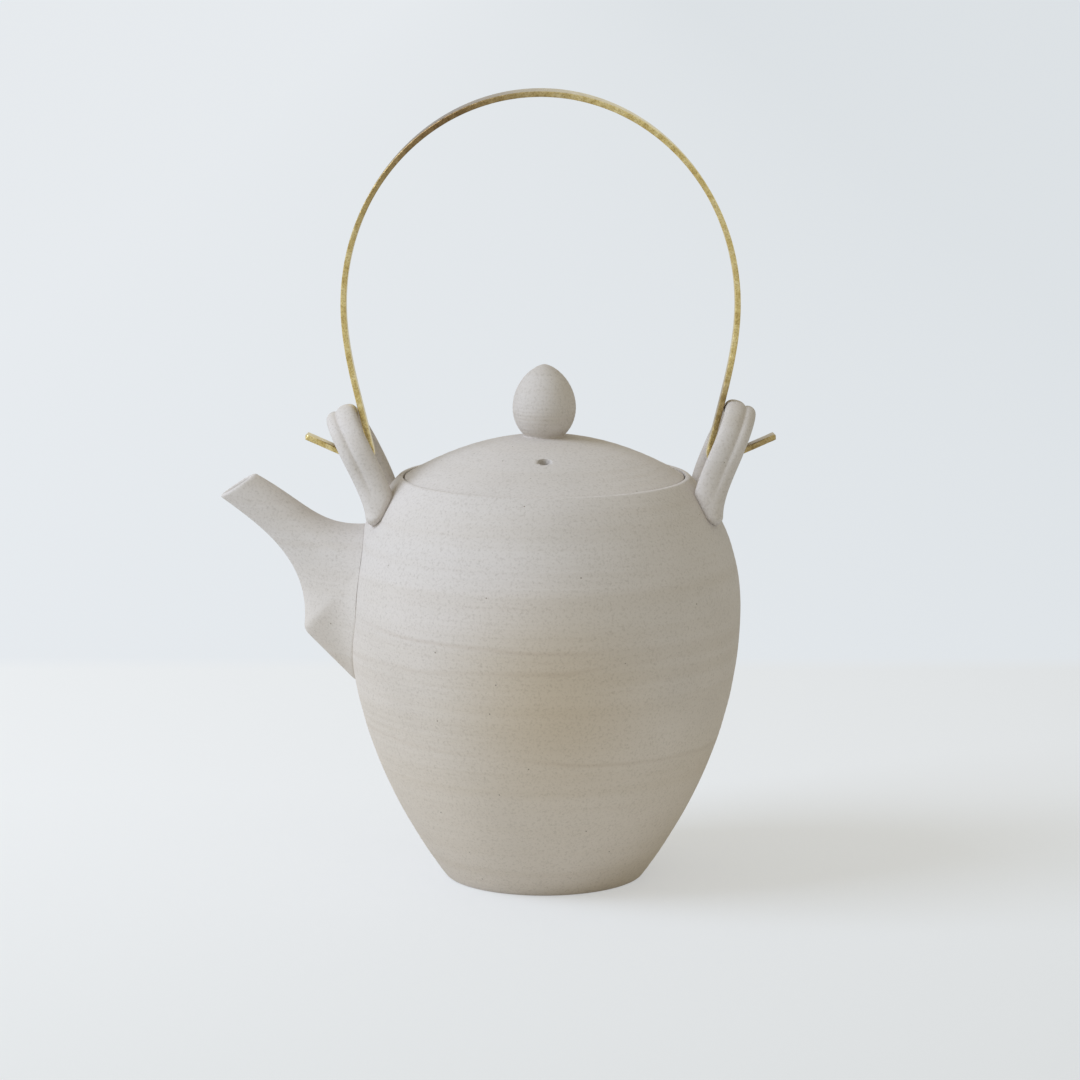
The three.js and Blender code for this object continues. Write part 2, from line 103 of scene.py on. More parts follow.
# Spout: its side view as cubic curves, as [out, up] from the belly line of the pot
SPOUT_TOP_LINE = [[26, 37.9], [11.4, 29.5], [8.4, 22.8], [-3.5, 23]]
SPOUT_UNDER_LINE = [[36.3, 31.3], [24.8, 22.7], [10, 12.6], [12.9, -7.5]]
SPOUT_TIP_HALF_WIDTH = 5.2
SPOUT_THROAT_HALF_WIDTH = 8.2
SPOUT_THROAT_EGG = -0.3
SPOUT_FLARE = 3
SPOUT_TIP_WALL = 2
SPOUT_ROOT_WALL = 3.2
SPOUT_ROOT_BOTTOM = -23
SPOUT_ROOT_HALF_WIDTH = 19
SPOUT_ROOT_HIGH_FULLNESS = 2.6
SPOUT_ROOT_LOW_FULLNESS = 1.25
CREASE_RISE = 13
CREASE_SOFTNESS = 2
CREASE_BOW = 0.5
CREASE_TURN = 110
TIP_ROUND = 0.7
BORE_CLEARANCE = 1
BORE_SHARE = 0.75

# Lugs: their side views as cubic curves, as [out, up], out from the shoulder's surface at the
# height of the foot and up from the rim
SPOUT_LUG_LINE = [[-2.9, -9.7], [-2.5, -3], [4.9, 9.3], [12.5, 24.3]]
FAR_LUG_LINE = [[-2.9, -9.7], [-2.9, -1.5], [2.7, 7.3], [9.1, 24.3]]
SPOUT_LUG_RISE = 19.6
FAR_LUG_RISE = 21.2
LUG_LEG_SPACING = 26
LUG_STRAP_WIDTH = 9
LUG_STRAP_THICKNESS = 5.6
LUG_INNER_ROLL_SHARE = 0.61
LUG_ACROSS_POWER = 0.8
LUG_OUTWARD_POWER = 0.7
LUG_GROOVE_DEPTH = 0.9
LUG_GROOVE_REACH = 0.9
LUG_GROOVE_END = 5
LUG_GROOVE_FADE = 20
LUG_GROOVE_FADE_POWER = 0.7
LUG_FOOT_END = 3.2
LUG_FOOT_SQUARENESS = 2.2
LUG_FOOT_SWELL = 1.1
LUG_FOOT_SWELL_REACH = 14
LUG_EDGE_ROUND = 2.4
LUG_EDGE_DROP = 2.2
LUG_SUNK = 2

# Bail: half an ellipse above straight necks that end in hooked tails
BAIL_HALF_SPAN = 56.5
BAIL_CROWN_HEIGHT = 227.7
BAIL_SPRING_HEIGHT = 167
BAIL_THICKNESS = 1.6
BAIL_GRIP_WIDTH = 18
BAIL_NECK_WIDTH = 5.8
BAIL_TAPER_HEIGHT = 175
BAIL_CLEARANCE = 0.7
BAIL_EDGE_ROUND = 0.35
HOOK_DROP = 17.1
HOOK_INSET = 4.2
HOOK_BEND_REACH = 5.72
HOOK_TAIL_LENGTH = 22.2
HOOK_TAIL_SLOPE = 24

# Marks of turning, in millimetres: a depth and the height from one ring to the next
FINGER_RIDGES = (0.035, 11.5)
FINE_RIDGES = (0.018, 2.3)
RIDGE_TILT = 0.7
RIDGE_FADE = 47
TRIMMING_RINGS = (0.022, 3.4)
TRIMMING_WANDER = 0.4
KNOB_RINGS = (0.02, 1.1)
KNOB_WAVER = 0.05

# How the spout's edge meets the pot: a fine groove, with the spout's end sunk in the wall
SEAM_GROOVE = 0.35
SPOUT_SUNK = 1.2

# The strip's tips, drawn in by the file, and the waves that the file left along its edges, each
# a depth, a turn per millimetre and a start
TIP_REACH = 1.4
TIP_WIDTH_SHARE = 0.55
TIP_THINNING = 0.5
FILE_WAVES = ((0.06, 0.9, 0), (0.05, 2.3, 1))

# How many points of the pot's wall lines its rounded foot and throat take up
FOOT_POINTS = 4
THROAT_POINTS = 8

# How fine the meshes are
AROUND_POT = 112
AROUND_KNOB = 96
AROUND_SPOUT = 128
AROUND_BAIL = 48
STEP = 0.8
KNOB_STEP = 0.4
BAIL_STEP = 0.5

# Camera, in millimetres and degrees, and its focal length in pixels of a 1080 pixel frame
CAMERA_PLACE = (-1.23, -1100, 286.7)
CAMERA_PITCH = 9.7
FOCAL_PIXELS = 3850
FRAME_PIXELS = 1080
SENSOR_WIDTH = 36

# Light: a cool window on the left, in metres and watts, and a warm even room
WINDOW_PLACE = (-1.52, -0.42, 1.38)
WINDOW_AIM = (0, 0, 0.1)
WINDOW_SIZE = 1.2
WINDOW_POWER = 33
WINDOW_TINT = "#DAE8FF"
ROOM_TINT = "#FFFBE9"
ROOM_STRENGTH = 0.51
BACKDROP_TINT = "#E4E9ED"

# Clay, with places in millimetres. A noise's scale is its patterns per millimetre, and a
# stretch is its patterns per metre along X, Y and Z
CLAY_TONES = ((0.3, "#CFC8C2"), (0.5, "#D4CDC7"), (0.7, "#D8D1CC"))
CLAY_CLOUD_SCALE = 0.022
CLAY_FOOT_TONES = ((0, "#FFFAF0"), (1, "#FFFFFF"))
CLAY_FOOT_LOW = 35
CLAY_FOOT_HIGH = 100
FLASH_TONE = "#CDC1B1"
FLASH_PLACE = (2, -60, 62)
FLASH_REACH = 42
STREAK_TONES = ((0.34, "#FBFAF8"), (0.55, "#FFFFFF"))
STREAK_STRETCH = (5, 5, 190)
THROWING_LINES = ((77, -0.04), (71, 0.05), (44.5, -0.05))
THROWING_LINE_HALF = 1.2
THROWING_LINE_WAVER = 6
THROWING_LINE_GAPS = (0.35, 0.6)
THROWING_LINE_TONE = "#F7F5F3"
SAND_TONES = ((0.3, "#B9B3AA"), (0.5, "#FFFFFF"))
SAND_SCALE = 1.4
SAND_SHARE = 0.35
SAND_HEIGHT = 0.3
SAND_BUMP = 0.25
SPECK_TONE = "#93887C"
SPECK_SCALE = 0.16
SPECK_SIZE = 0.035
RING_STRETCH = (4, 4, 900)
RING_HEIGHT = 0.5
RING_BUMP = 0.2
CLAY_ROUGHNESS = 0.88
CLAY_SHINE = 0.25

# Brass, in the same units. Each painted reflection place is a centre, its reach and how deep the
# painted brown reflection is
BRASS_TONES = ((0.32, "#C9AF6E"), (0.5, "#DEC888"), (0.68, "#EDDCA8"))
BRASS_CLOUD_SCALE = 0.3
PAINTED_REFLECTION_TONES = ((0.35, "#6B5238"), (0.65, "#927650"))
PAINTED_REFLECTION_PLACES = (
    ((-32, 0, 222), 62, 1),
    ((53, 0, 137), 18, 0.75),
    ((64, 0, 124), 14, 0.85),
)
PIT_TONES = ((0.36, "#A08A58"), (0.52, "#FFFFFF"))
PIT_SCALE = 2.2
PIT_SHARE = 0.4
FILE_STRETCH = (1600, 900, 1600)
FILE_HEIGHT = 0.12
FILE_BUMP = 0.6
BRASS_ROUGHNESS = 0.34

# Table and wall, in millimetres: where one gives way to the other, the painted light falloff from
# left to right and from near to far (lighter on the left, darker towards the right and the near
# edge), and how much of each is seen as its own tone instead of as lit paint
TABLE_LINE = 305
TABLE_LINE_BLUR = 12
TONES_REACH = 350
TABLE_NEAR = -500
TABLE_FAR = 100
TABLE_FALLOFF_ACROSS_TONES = ((0, "#FFFFFF"), (1, "#F3F4F5"))
TABLE_FALLOFF_DEEP_TONES = ((0, "#E6E7E6"), (1, "#F6F7F8"))
WALL_FALLOFF_TONES = ((0, "#E9EDF1"), (1, "#DFE4E8"))
TABLE_LIFT = 0.5
WALL_LIFT = 0.95
TABLE_ROUGHNESS = 0.9
TABLE_SHINE = 0.1
FLOOR_REACH = 60

# Object coordinates are in metres: this takes them to millimetres
PER_METRE = (1000, 1000, 1000)

# A Mix node that mixes colours, and its sockets
MIX = (("data_type", "RGBA"), ("blend_type", "MIX"))
MULTIPLY = (("data_type", "RGBA"), ("blend_type", "MULTIPLY"))
SHARE, FIRST, SECOND, MIXED = 0, 6, 7, 2


# Meshes

def mesh_from_rows(name, rows, close_rows=False):
    """A closed surface over rows of points that run round it. Rows that are one point become
    poles, and close_rows joins the last row to the first."""
    count, around = rows.shape[:2]
    if close_rows:
        rows = np.concatenate([rows, rows[:1]])
    index = np.arange(count * around).reshape(count, around)
    if close_rows:
        index = np.concatenate([index, index[:1]])
    side = np.roll(index, -1, axis=1)
    faces = np.stack([index[:-1], side[:-1], side[1:], index[1:]], axis=-1).reshape(-1, 4)
    mesh = bpy.data.meshes.new(name)
    mesh.from_pydata(rows[:count].reshape(-1, 3) * MM, [], faces)
    return finished(name, mesh)


def finished(name, mesh):
    """An object of a closed mesh, with its doubles merged, its normals out and smooth faces."""
    work = bmesh.new()
    work.from_mesh(mesh)
    bmesh.ops.remove_doubles(work, verts=work.verts, dist=1e-6)
    bmesh.ops.dissolve_degenerate(work, edges=work.edges, dist=1e-7)
    bmesh.ops.recalc_face_normals(work, faces=work.faces)
    work.to_mesh(mesh)
    work.free()
    mesh.shade_smooth()
    piece = bpy.data.objects.new(name, mesh)
    bpy.context.scene.collection.objects.link(piece)
    return piece


def rounded(corners, steps=6):
    """A path of [x, y, radius] corners with each corner rounded by a curve of that radius: the
    corner is the middle point of a square curve that starts and ends the radius away from it."""
    corners = np.asarray(corners, float)
    points = [corners[0, :2]]
    share = np.linspace(0, 1, steps)[:, None]
    for before, corner, after in zip(corners[:-2], corners[1:-1], corners[2:]):
        middle, radius = corner[:2], corner[2]
        if radius == 0:
            points.append(middle)
            continue
        to_before = (before[:2] - middle) / np.linalg.norm(before[:2] - middle)
        to_after = (after[:2] - middle) / np.linalg.norm(after[:2] - middle)
        start, end = middle + to_before * radius, middle + to_after * radius
        curve = (1 - share) ** 2 * start + 2 * share * (1 - share) * middle + share ** 2 * end
        points.extend(curve)
    points.append(corners[-1, :2])
    return np.array(points)


def even(path, step):
    """The same path with points about a step apart, measured along it."""
    lengths = np.linalg.norm(np.diff(path, axis=0), axis=1)
    along = np.concatenate([[0], np.cumsum(lengths)])
    places = np.linspace(0, along[-1], max(int(along[-1] / step), 2))
    places = np.unique(np.concatenate([places, along]))
    keep = np.concatenate([[True], np.diff(places) > step / 20])
    places = places[keep]
    return np.stack([np.interp(places, along, path[:, k]) for k in range(path.shape[1])], axis=1)


def turned(name, profile, around=AROUND_POT, marks=None):
    """A surface of revolution of [radius, height] points. marks is a function of radius, height
    and angle that gives how far the surface stands in, in millimetres."""
    angle = np.linspace(0, 2 * np.pi, around, endpoint=False)
    radius = np.repeat(profile[:, :1], around, axis=1)
    height = np.repeat(profile[:, 1:], around, axis=1)
    if marks:
        inset = marks(radius, height, angle[None, :])
        way = np.gradient(profile, axis=0)
        way /= np.linalg.norm(way, axis=1)[:, None]
        radius = radius - np.where(radius > 0, way[:, 1:] * inset, 0)
        height = height + way[:, :1] * inset
    rows = np.stack([radius * np.cos(angle), radius * np.sin(angle), height], axis=-1)
    return mesh_from_rows(name, rows)


def bored(piece, start, end, radius, around=48):
    """Cuts a round hole between two points through a piece and applies the cut."""
    start, end = Vector(start) * MM, Vector(end) * MM
    bpy.ops.mesh.primitive_cylinder_add(
        vertices=around,
        radius=radius * MM,
        depth=(end - start).length,
        location=(start + end) / 2,
        rotation=(end - start).to_track_quat("Z", "Y").to_euler(),
    )
    cutter = bpy.context.object
    cut = piece.modifiers.new("hole", "BOOLEAN")
    cut.object = cutter
    cut.solver = "EXACT"
    graph = bpy.context.evaluated_depsgraph_get()
    mesh = bpy.data.meshes.new_from_object(piece.evaluated_get(graph))
    piece.modifiers.clear()
    piece.data = mesh
    cutter_mesh = cutter.data
    bpy.data.objects.remove(cutter)
    bpy.data.meshes.remove(cutter_mesh)
    return piece


# Pot

def outer_radius(z):
    """Outside radius of the pot: a near parabola below the belly, an elliptical arc above."""
    def drop(u):
        return 1 - np.sqrt(1 - u * u)

    below = np.clip((BELLY_HEIGHT - z) / BELLY_HEIGHT, 0, None)
    low = BELLY_RADIUS - (BELLY_RADIUS - BASE_RADIUS) * below ** FOOT_FULLNESS
    above = np.clip((z - BELLY_HEIGHT) / (RIM_HEIGHT - BELLY_HEIGHT), 0, 1)
    share = drop(above / SHOULDER_ROUNDNESS) / drop(1 / SHOULDER_ROUNDNESS)
    high = BELLY_RADIUS - (BELLY_RADIUS - RIM_RADIUS) * share
    return np.where(z <= BELLY_HEIGHT, low, high)


def wall_line(start, end, inset):
    """[radius, height] points of the pot's outside between two heights, moved in by an inset
    square to the wall."""
    z = np.linspace(start, end, 240)
    line = np.stack([outer_radius(z), z], axis=1)
    way = np.gradient(line, axis=0)
    way /= np.linalg.norm(way, axis=1)[:, None]
    up = np.sign(end - start)
    return line + np.stack([-way[:, 1], way[:, 0]], axis=1) * inset * up


def throwing_marks(radius, height, angle):
    """Soft ridges of the potter's fingers, each ring a little tilted: sine waves of two widths
    whose strength fades in and out up the pot."""
    tilted = (height + RIDGE_TILT * np.cos(angle - 0.6)) * 2 * np.pi
    (broad, broad_rise), (fine, fine_rise) = FINGER_RIDGES, FINE_RIDGES
    broad = broad * (1 + np.sin(tilted / broad_rise))
    fine = fine * (1 + np.sin(tilted / fine_rise + 1.1))
    strength = 0.55 + 0.45 * np.sin(tilted / RIDGE_FADE + 0.9)
    return (broad + fine) * strength * np.clip(height / 4, 0, 1)


def make_pot():
    """The pot turned from one closed profile: foot, outside, lip and ledge, inside and floor,
    with the pour hole cut through its wall."""
    ledge_radius = RIM_RADIUS - LIP_WIDTH
    ledge = RIM_HEIGHT - LEDGE_DEPTH
    throat = ledge - LEDGE_THICKNESS - THROAT_DROP
    outside = wall_line(BASE_EDGE, RIM_HEIGHT - LIP_ROUND_DROP, 0)
    inside = wall_line(throat, FLOOR_THICKNESS + FLOOR_CURVE_RISE, POT_WALL)
    foot = rounded([
        [0, 0, 0],
        [outer_radius(0) - BASE_INSET, 0, BASE_EDGE],
        [*outside[FOOT_POINTS], 0],
    ])
    mouth = rounded([
        [*outside[-1], 0],
        [RIM_RADIUS, RIM_HEIGHT, 0.5],
        [ledge_radius, RIM_HEIGHT, 0.35],
        [ledge_radius, ledge, 0.3],
        [MOUTH_RADIUS, ledge, 0.6],
        [MOUTH_RADIUS, ledge - LEDGE_THICKNESS, 1.5],
        [*inside[0], 3],
        [*inside[THROAT_POINTS], 0],
    ])
    floor = rounded([
        [*inside[-1], 0],
        [inside[-1][0] - FLOOR_CURVE_INSET, FLOOR_THICKNESS, 2.5],
        [0, FLOOR_THICKNESS, 0],
    ])
    outside, inside = outside[FOOT_POINTS + 1:], inside[THROAT_POINTS + 1:]
    profile = np.concatenate([foot, outside, mouth[1:], inside, floor[1:]])
    pot = turned("pot_body", even(profile, STEP), marks=throwing_marks)
    start = (-BELLY_RADIUS - POT_WALL, 0, POUR_HOLE_HEIGHT)
    end = (-BELLY_RADIUS + 2 * POT_WALL, 0, POUR_HOLE_HEIGHT)
    return bored(pot, start, end, POUR_HOLE_RADIUS)


# Lid and knob

def lid_height(radius):
    """Height of the lid's outside: a shallow paraboloid that starts just under the rim."""
    edge = RIM_HEIGHT - LID_EDGE_DROP
    return edge + (LID_TOP - edge) * (1 - (radius / LID_RADIUS) ** 2)


def trimming_marks(radius, height, angle):
    """Rings that the trimming tool left on the lid: sine waves of the radius that wander a
    little round the lid."""
    depth, apart = TRIMMING_RINGS
    wander = radius + TRIMMING_WANDER * np.cos(angle - 2)
    rings = depth * (1 + np.sin(wander * 2 * np.pi / apart))
    return rings * np.clip(radius / 6, 0, 1)


def make_lid():
    """The lid turned from one closed profile: the hollow underneath, the flange, the rim and
    the dome, with the steam hole cut through it."""
    flange_inner = FLANGE_OUTER - FLANGE_THICKNESS
    under = np.linspace(0, flange_inner - 1, 40)
    over = np.linspace(LID_RADIUS - 0.5, 0, 60)
    hollow = np.stack([under, lid_height(under) - LID_THICKNESS], axis=1)
    dome = np.stack([over, lid_height(over)], axis=1)
    edge = rounded([
        [*hollow[-1], 0],
        [flange_inner, lid_height(flange_inner) - LID_THICKNESS - 0.4, 0.8],
        [flange_inner, FLANGE_BOTTOM, 0.8],
        [FLANGE_OUTER, FLANGE_BOTTOM, 0.8],
        [FLANGE_OUTER, LID_REST, 0.3],
        [LID_RADIUS, LID_REST, 0.3],
        [LID_RADIUS, lid_height(LID_RADIUS), 0.3],
        [*dome[0], 0],
    ])
    profile = np.concatenate([hollow, edge[1:], dome[1:]])
    lid = turned("lid_dome", even(profile, STEP), marks=trimming_marks)
    start = (0, -STEAM_HOLE_OFFSET, RIM_HEIGHT)
    end = (0, -STEAM_HOLE_OFFSET, LID_TOP + 1)
    return bored(lid, start, end, STEAM_HOLE_RADIUS)


def knob_marks(radius, height, angle):
    """Fine rings round the knob, and a hand-shaped waver of its outline."""
    depth, apart = KNOB_RINGS
    rings = depth * (1 + np.sin(height * 2 * np.pi / apart + 0.5 * np.cos(angle)))
    waver = KNOB_WAVER * (1 + np.cos(2 * angle + height * 0.3))
    return (rings + waver) * np.clip(radius / 3, 0, 1)


def make_knob():
    """An egg: a circle's arc below its widest place and a sharpened ellipse above."""
    foot = KNOB_LOW[2] - KNOB_SUNK
    middle = KNOB_LOW[2] + KNOB_BELOW
    down = np.linspace(middle - foot, 0, 40)
    narrow = KNOB_RADIUS * np.sqrt(1 - (down / KNOB_FOOT_ROUND) ** 2)
    seat = lid_height(KNOB_SEAT_SHARE * KNOB_RADIUS)
    near = np.clip(1 - (middle - down - seat) / KNOB_FILLET, 0, 1)
    low = np.stack([narrow + KNOB_FILLET * (1 - np.sqrt(1 - near ** 2)), middle - down], 1)
    turn = np.linspace(0, np.pi / 2, 60)[1:]
    radius = KNOB_RADIUS * np.cos(turn) ** (2 * KNOB_TIP_SHARPNESS)
    high = np.stack([radius, middle + KNOB_ABOVE * np.sin(turn)], axis=1)
    high[-1, 0] = 0
    profile = np.concatenate([[[0, foot]], low, high])
    return turned("knob_egg", even(profile, KNOB_STEP), around=AROUND_KNOB, marks=knob_marks)


# Spout

def cubic(line, share):
    """Points of a cubic curve through four [x, y] controls, at each share of the way."""
    a, b, c, d = np.asarray(line, float)
    s = np.asarray(share, float)[..., None]
    return (1 - s) ** 3 * a + 3 * (1 - s) ** 2 * s * b + 3 * (1 - s) * s ** 2 * c + s ** 3 * d


def spout_line(line):
    """A side view's [out, up] controls as the part's X and Z."""
    return [[-BELLY_RADIUS - out, BELLY_HEIGHT + up] for out, up in line]


SPOUT_ANGLE = np.linspace(0, 2 * np.pi, AROUND_SPOUT, endpoint=False)
SPOUT_SHARE = (1 - np.cos(SPOUT_ANGLE)) / 2
SPOUT_SIDE = np.where(np.abs(np.sin(SPOUT_ANGLE)) < 1e-9, 0, np.sign(np.sin(SPOUT_ANGLE)))


def egg_rings(under, top, half_width, egg):
    """Egg-shaped rings, each between a point on the underside and one on the top."""
    at = under[:, None] + (top - under)[:, None] * SPOUT_SHARE[None, :, None]
    wide = half_width[:, None] * np.sin(SPOUT_ANGLE) * (1 - egg[:, None] * np.cos(SPOUT_ANGLE))
    return np.stack([at[..., 0], wide, at[..., 1]], axis=-1)


def root_half_width(z):
    """Half the width of the spout's root outline at a height: half of one superellipse above
    the middle and half of another below it."""
    bottom = BELLY_HEIGHT + SPOUT_ROOT_BOTTOM
    top = spout_line(SPOUT_TOP_LINE)[-1][1]
    middle = (top + bottom) / 2
    away = np.clip(np.abs(z - middle) / (top - middle), 0, 1)
    fullness = np.where(z > middle, SPOUT_ROOT_HIGH_FULLNESS, SPOUT_ROOT_LOW_FULLNESS)
    full = (1 - away ** fullness) ** (1 / fullness)
    return SPOUT_ROOT_HALF_WIDTH * full


def on_pot(y, z, gap=0):
    """Points on the pot's outside, or a gap off it, on the spout's side."""
    x = -np.sqrt((outer_radius(z) + gap) ** 2 - y * y)
    return np.stack([x, y, z], axis=-1)


def crease_ring():
    """The spout's last free ring: creases that look straight from the side and bow outward,
    from the keel's corner to the root's outline, then that outline over the top."""
    corner = np.array(spout_line(SPOUT_UNDER_LINE)[-1])
    top = spout_line(SPOUT_TOP_LINE)[-1][1]
    crease_top = BELLY_HEIGHT + CREASE_RISE
    z = corner[1] + (top - corner[1]) * SPOUT_SHARE
    rim = on_pot(SPOUT_SIDE * root_half_width(z), z)
    end = on_pot(SPOUT_SIDE * root_half_width(crease_top), np.full_like(z, crease_top))
    start = np.array([corner[0], 0, corner[1]])
    share = ((z - corner[1]) / (crease_top - corner[1]))[:, None]
    crease = start + (end - start) * np.clip(share, 0, 1) ** [1, CREASE_BOW, 1]
    return np.where(share > 1, rim, crease)


def root_ring():
    """The whole outline where the spout meets the pot. Below the crease its height follows the
    cosine of a turn, so that its points close up round the bottom."""
    corner = spout_line(SPOUT_UNDER_LINE)[-1][1]
    top = spout_line(SPOUT_TOP_LINE)[-1][1]
    bottom = BELLY_HEIGHT + SPOUT_ROOT_BOTTOM
    crease_top = BELLY_HEIGHT + CREASE_RISE
    crease_share = (crease_top - corner) / (top - corner)
    reach = np.radians(CREASE_TURN)
    low = np.clip(SPOUT_SHARE / crease_share, 0, 1)
    spread = (1 - np.cos(low * reach)) / (1 - np.cos(reach))
    below = bottom + (crease_top - bottom) * spread
    z = np.where(SPOUT_SHARE < crease_share, below, corner + (top - corner) * SPOUT_SHARE)
    return on_pot(SPOUT_SIDE * root_half_width(z), z)


def free_rings(share):
    """The spout's free rings at shares of the way from the tip to the crease: eggs that grow
    evenly from the tip's width to the throat's and flare, with a power of the share, into the
    crease ring."""
    under, top = spout_line(SPOUT_UNDER_LINE), spout_line(SPOUT_TOP_LINE)

    def eggs(share):
        half = SPOUT_TIP_HALF_WIDTH + (SPOUT_THROAT_HALF_WIDTH - SPOUT_TIP_HALF_WIDTH) * share
        return egg_rings(cubic(under, share), cubic(top, share), half, SPOUT_THROAT_EGG * share ** 2)

    flare = crease_ring() - eggs(np.array([1.0]))[0]
    return eggs(share) + (share ** SPOUT_FLARE)[:, None, None] * flare


def between(first, last, steps):
    """Rings that lie evenly between two rings, without either of them."""
    share = np.linspace(0, 1, steps + 2)[1:-1, None, None]
    return first + (last - first) * share


def out_of_pot(points):
    """Points with any that lie inside the pot's outside moved straight out along -X."""
    limit = outer_radius(points[..., 2])
    x = -np.sqrt(np.clip(limit ** 2 - points[..., 1] ** 2, 0, None))
    moved = points.copy()
    moved[..., 0] = np.minimum(points[..., 0], x)
    return moved


def spout_outside(root):
    """Rings of the outside from the tip to the root. Weighted means of neighbouring rings
    soften the creases."""
    free = free_rings(np.linspace(0, 1, 70))
    rings = np.concatenate([free, between(crease_ring(), root, 14), root[None]])
    for _ in range(CREASE_SOFTNESS):
        rings[1:-1] = (rings[:-2] + 2 * rings[1:-1] + rings[2:]) / 4
    return out_of_pot(rings)


def spout_bore(hole):
    """Rings of the inside from the tip to the pour hole: the free rings drawn in towards their
    middles by the wall."""
    share = np.linspace(0, BORE_SHARE, 50)
    rings = free_rings(share)
    middle = rings.mean(axis=1, keepdims=True)
    inward = (middle - rings) / np.linalg.norm(middle - rings, axis=2, keepdims=True)
    wall = SPOUT_TIP_WALL + (SPOUT_ROOT_WALL - SPOUT_TIP_WALL) * share / BORE_SHARE
    bore = rings + inward * wall[:, None, None]
    return np.concatenate([bore, between(bore[-1], hole, 12)])


def spout_lip(outer, bore):
    """Rings over the lip of the tip: half an ellipse from the bore to the outside."""
    turn = np.linspace(0, np.pi, 8)[1:-1, None, None]
    away = outer[0, 0] - outer[3, 0]
    away /= np.linalg.norm(away)
    centre, half = (outer[0] + bore[0]) / 2, (outer[0] - bore[0]) / 2
    return centre - half * np.cos(turn) + away * TIP_ROUND * np.sin(turn)


def make_spout():
    """One closed surface: down the outside from the tip to a fine groove at the pot, in over a
    face that is sunk in the pot's wall, back up the bore, and round the lip of the tip."""
    root = root_ring()
    outer = spout_outside(root)
    middle = root.mean(axis=0)
    inward = (middle - root) / np.linalg.norm((middle - root)[:, 1:], axis=1, keepdims=True)
    drawn = root + inward * SEAM_GROOVE
    groove = on_pot(drawn[:, 1], drawn[:, 2])
    sunk = on_pot(drawn[:, 1], drawn[:, 2], -SPOUT_SUNK)
    radius = POUR_HOLE_RADIUS + BORE_CLEARANCE
    hole_height = POUR_HOLE_HEIGHT - radius * np.cos(SPOUT_ANGLE)
    hole = on_pot(radius * np.sin(SPOUT_ANGLE), hole_height, -SPOUT_SUNK)
    face = between(sunk, hole, 8)
    face = on_pot(face[..., 1], face[..., 2], -SPOUT_SUNK)
    bore = spout_bore(hole)
    seam = [groove[None], sunk[None], face, hole[None]]
    rows = np.concatenate([outer[:-1], *seam, bore[::-1], spout_lip(outer, bore)])
    return mesh_from_rows("spout_shell", rows, close_rows=True)


# Lugs

def lean_curve(line, count=400):
    """A lug's side view as a fine line, with the length along it."""
    shoulder = outer_radius(RIM_HEIGHT + line[0][1])
    controls = [[shoulder + out, RIM_HEIGHT + up] for out, up in line]
    points = cubic(controls, np.linspace(0, 1, count))
    steps = np.linalg.norm(np.diff(points, axis=0), axis=1)
    return points, np.concatenate([[0], np.cumsum(steps)])


def lug_place(line, side, y, along, across):
    """Places points of the flat arch (sideways, up the arch, across the strap) on the leaning
    curve, which runs on straight past its ends."""
    points, length = lean_curve(line)
    way = np.gradient(points, length, axis=0)
    at = np.clip(along, 0, length[-1])
    x, z = (np.interp(at, length, points[:, k]) for k in range(2))
    way_x, way_z = (np.interp(at, length, way[:, k]) for k in range(2))
    beyond = along - at
    out = x + way_x * beyond - way_z * across
    up = z + way_z * beyond + way_x * across
    return np.stack(np.broadcast_arrays(side * out, y, up), axis=-1)


def lug_arch_top(line, rise):
    """How far up its curve the outside of a lug's arch reaches."""
    along = np.linspace(0, 60, 6001)
    heights = lug_place(line, 1, 0, along, 0)[:, 2]
    return along[np.argmax(heights >= RIM_HEIGHT + rise)]


def strap_section(count=96):
    """The strap's section as [across, outward] points, and how far each stands in the groove:
    a flattened ellipse whose outer face has a narrow groove beside its middle, which falls off
    exponentially to both sides."""
    half, deep = LUG_STRAP_WIDTH / 2, LUG_STRAP_THICKNESS / 2
    split = half - LUG_STRAP_WIDTH * LUG_INNER_ROLL_SHARE
    turn = np.linspace(0, 2 * np.pi, count, endpoint=False)
    across = half * np.sign(np.cos(turn)) * np.abs(np.cos(turn)) ** LUG_ACROSS_POWER
    outward = deep * np.sign(np.sin(turn)) * np.abs(np.sin(turn)) ** LUG_OUTWARD_POWER
    groove = LUG_GROOVE_DEPTH * np.exp(-np.abs(across - split) / LUG_GROOVE_REACH)
    return across, outward, np.where(outward > 0, groove, 0)


def lug_path(line, rise):
    """The flat arch that a lug's strap follows: up one leg, half a circle over and down the
    other leg, as places sideways and up the lug, and the way that its outer face looks. Its
    steps close up towards the tips of the feet."""
    radius = LUG_LEG_SPACING / 2
    springing = lug_arch_top(line, rise) - LUG_STRAP_THICKNESS / 2 - radius
    tongue = -LUG_FOOT_END * np.cos(np.linspace(0, np.pi / 2, 14))
    leg = np.concatenate([tongue, np.linspace(0, springing, 46)[1:-1]])
    turn = np.linspace(0, np.pi, 90)
    near, far = np.full_like(leg, -radius), np.full_like(leg, radius)
    y = np.concatenate([near, -radius * np.cos(turn), far])
    along = np.concatenate([leg, springing + radius * np.sin(turn), leg[::-1]])
    angle = np.concatenate([np.zeros_like(leg), turn, np.full_like(leg, np.pi)])
    return y, along, angle


def strap_shape(along):
    """How wide and thick the strap is at places up the leg, and how deep its groove. The foot
    ends as a superellipse in width and an ellipse in thickness, and swells with the square of
    how near its end is, where the groove fades out."""
    past = np.clip(-along / LUG_FOOT_END, 0, 1)
    wide = (1 - past ** LUG_FOOT_SQUARENESS) ** (1 / LUG_FOOT_SQUARENESS)
    swell = 1 - np.clip(along / LUG_FOOT_SWELL_REACH, 0, 1)
    thick = np.sqrt(1 - past ** 2) * (1 + LUG_FOOT_SWELL * swell ** 2)
    groove = np.clip((along - LUG_GROOVE_END) / LUG_GROOVE_FADE, 0, 1)
    groove = groove ** LUG_GROOVE_FADE_POWER
    return wide[:, None], thick[:, None], groove[:, None]


